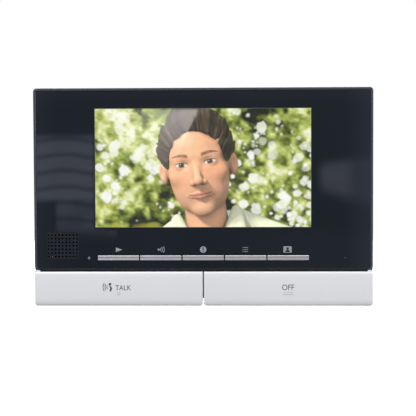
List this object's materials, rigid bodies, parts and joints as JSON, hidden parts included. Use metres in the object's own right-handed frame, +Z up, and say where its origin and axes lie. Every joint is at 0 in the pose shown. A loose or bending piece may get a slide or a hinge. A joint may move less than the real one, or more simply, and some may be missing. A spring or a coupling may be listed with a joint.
{
  "type": "video intercom monitor",
  "caption": "Wall-hung video intercom monitor: a wide display in a gloss black panel, a speaker grille, a row of small function keys and two large talk and off keys.",
  "frame": {"origin": "centre of the wall bracket's two gang box screws, on the wall", "axes": "+Z up, +X to the right seen from the front, +Y into the wall; the front faces -Y"},
  "size_m": [0.242, 0.028, 0.156],
  "materials": {
    "zinc_steel": "zinc-plated sheet, satin",
    "cover_plastic": "fine-grained moulded black plastic",
    "black_rubber": "matte rubber",
    "plate_film": "blank silver film plate",
    "case_plastic": "semi-gloss black plastic",
    "panel_gloss": "high-gloss black acrylic",
    "window_clear": "clear acrylic, hard coated",
    "grille_plastic": "semi-matte black plastic",
    "foam": "closed-cell foam",
    "plated_steel": "bright plated steel",
    "cone_paper": "black paper cone",
    "can_metal": "tinned thin sheet",
    "led_white": "moulded lamp body",
    "pipe_clear": "clear moulded light pipe",
    "lcd_picture": "lit colour display",
    "white_plastic": "white moulded tray",
    "board_green": "solder-masked circuit board",
    "chip_black": "black moulded resin",
    "cream_plastic": "cream nylon",
    "sleeve_blue": "shrunk sleeve",
    "relay_blue": "moulded blue case",
    "terminal_green": "moulded green nylon",
    "screw_nickel": "nickel-plated steel",
    "board_brown": "brown paper-phenolic board",
    "winding_tape": "yellow winding tape",
    "ribbon_amber": "amber flexible circuit",
    "ribbon_white": "white flat cable",
    "pin_steel": "ground steel",
    "key_silver": "satin silver paint on plastic",
    "fkey_silver": "satin grey-silver paint on plastic",
    "plunger_cream": "cream moulded plastic"
  },
  "bodies": {
    "bracket": {"wall_bracket": "zinc_steel"},
    "monitor": {"rear_cover": "cover_plastic", "wall_pads": "black_rubber", "rating_plate": "plate_film", "front_case": "case_plastic", "front_panel": "panel_gloss", "display_window": "window_clear", "speaker_grille": "grille_plastic", "speaker_gasket": "foam", "speaker_frame": "plated_steel", "speaker_cone": "cone_paper", "speaker_magnet": "plated_steel", "microphone": "can_metal", "microphone_boot": "black_rubber", "indicator_led": "led_white", "light_pipe": "pipe_clear", "lcd_bezel": "plated_steel", "lcd_glass": "lcd_picture", "lcd_backlight": "white_plastic", "lcd_frame": "zinc_steel", "main_board": "board_green", "processor_chips": "chip_black", "shield_can": "can_metal", "ribbon_connectors": "cream_plastic", "capacitors": "sleeve_blue", "door_relay": "relay_blue", "signal_terminal_block": "terminal_green", "power_terminal_block": "chip_black", "terminal_screws": "screw_nickel", "power_board": "board_brown", "transformer": "winding_tape", "power_parts": "sleeve_blue", "key_board": "board_green", "switch_bodies": "chip_black", "display_ribbon": "ribbon_amber", "key_ribbon": "ribbon_white", "hinge_pins": "pin_steel", "case_screws": "screw_nickel", "board_screws": "screw_nickel", "key_board_screws": "screw_nickel"},
    "talk_key": {"talk_key": "key_silver"},
    "off_key": {"off_key": "key_silver"},
    "play_key": {"play_key": "fkey_silver"},
    "volume_key": {"volume_key": "fkey_silver"},
    "alert_key": {"alert_key": "fkey_silver"},
    "list_key": {"list_key": "fkey_silver"},
    "contact_key": {"contact_key": "fkey_silver"},
    "play_plunger": {"play_plunger": "plunger_cream"},
    "volume_plunger": {"volume_plunger": "plunger_cream"},
    "alert_plunger": {"alert_plunger": "plunger_cream"},
    "list_plunger": {"list_plunger": "plunger_cream"},
    "contact_plunger": {"contact_plunger": "plunger_cream"},
    "talk_plunger": {"talk_plunger": "plunger_cream"},
    "off_plunger": {"off_plunger": "plunger_cream"}
  },
  "joints": [
    {"name": "lift_off", "type": "slide", "parent": "bracket", "child": "monitor", "axis": [0, 0, 1], "range_m": [0, 0.0065]},
    {"name": "talk_press", "type": "hinge", "parent": "monitor", "child": "talk_key", "pos_m": [-0.06071, -0.0238, -0.0575], "axis": [1, 0, 0], "range_deg": [0, 2.5], "stiffness_Nm_per_rad": 1},
    {"name": "off_press", "type": "hinge", "parent": "monitor", "child": "off_key", "pos_m": [0.06071, -0.0238, -0.0575], "axis": [1, 0, 0], "range_deg": [0, 2.5], "stiffness_Nm_per_rad": 1},
    {"name": "play_press", "type": "slide", "parent": "monitor", "child": "play_key", "axis": [0, 1, 0], "range_m": [0, 0.0004], "stiffness_N_per_m": 800},
    {"name": "volume_press", "type": "slide", "parent": "monitor", "child": "volume_key", "axis": [0, 1, 0], "range_m": [0, 0.0004], "stiffness_N_per_m": 800},
    {"name": "alert_press", "type": "slide", "parent": "monitor", "child": "alert_key", "axis": [0, 1, 0], "range_m": [0, 0.0004], "stiffness_N_per_m": 800},
    {"name": "list_press", "type": "slide", "parent": "monitor", "child": "list_key", "axis": [0, 1, 0], "range_m": [0, 0.0004], "stiffness_N_per_m": 800},
    {"name": "contact_press", "type": "slide", "parent": "monitor", "child": "contact_key", "axis": [0, 1, 0], "range_m": [0, 0.0004], "stiffness_N_per_m": 800},
    {"name": "talk_switch", "type": "slide", "parent": "monitor", "child": "talk_plunger", "axis": [0, 1, 0], "range_m": [0, 0.0004]},
    {"name": "off_switch", "type": "slide", "parent": "monitor", "child": "off_plunger", "axis": [0, 1, 0], "range_m": [0, 0.0004]},
    {"name": "play_switch", "type": "slide", "parent": "monitor", "child": "play_plunger", "axis": [0, 1, 0], "range_m": [0, 0.00045]},
    {"name": "volume_switch", "type": "slide", "parent": "monitor", "child": "volume_plunger", "axis": [0, 1, 0], "range_m": [0, 0.00045]},
    {"name": "alert_switch", "type": "slide", "parent": "monitor", "child": "alert_plunger", "axis": [0, 1, 0], "range_m": [0, 0.00045]},
    {"name": "list_switch", "type": "slide", "parent": "monitor", "child": "list_plunger", "axis": [0, 1, 0], "range_m": [0, 0.00045]},
    {"name": "contact_switch", "type": "slide", "parent": "monitor", "child": "contact_plunger", "axis": [0, 1, 0], "range_m": [0, 0.00045]}
  ],
  "couplings": [
    {"joint": "talk_switch", "follows": "talk_press", "m_per_rad": 0.0088},
    {"joint": "off_switch", "follows": "off_press", "m_per_rad": 0.0088},
    {"joint": "play_switch", "follows": "play_press", "ratio": 1},
    {"joint": "volume_switch", "follows": "volume_press", "ratio": 1},
    {"joint": "alert_switch", "follows": "alert_press", "ratio": 1},
    {"joint": "list_switch", "follows": "list_press", "ratio": 1},
    {"joint": "contact_switch", "follows": "contact_press", "ratio": 1}
  ]
}
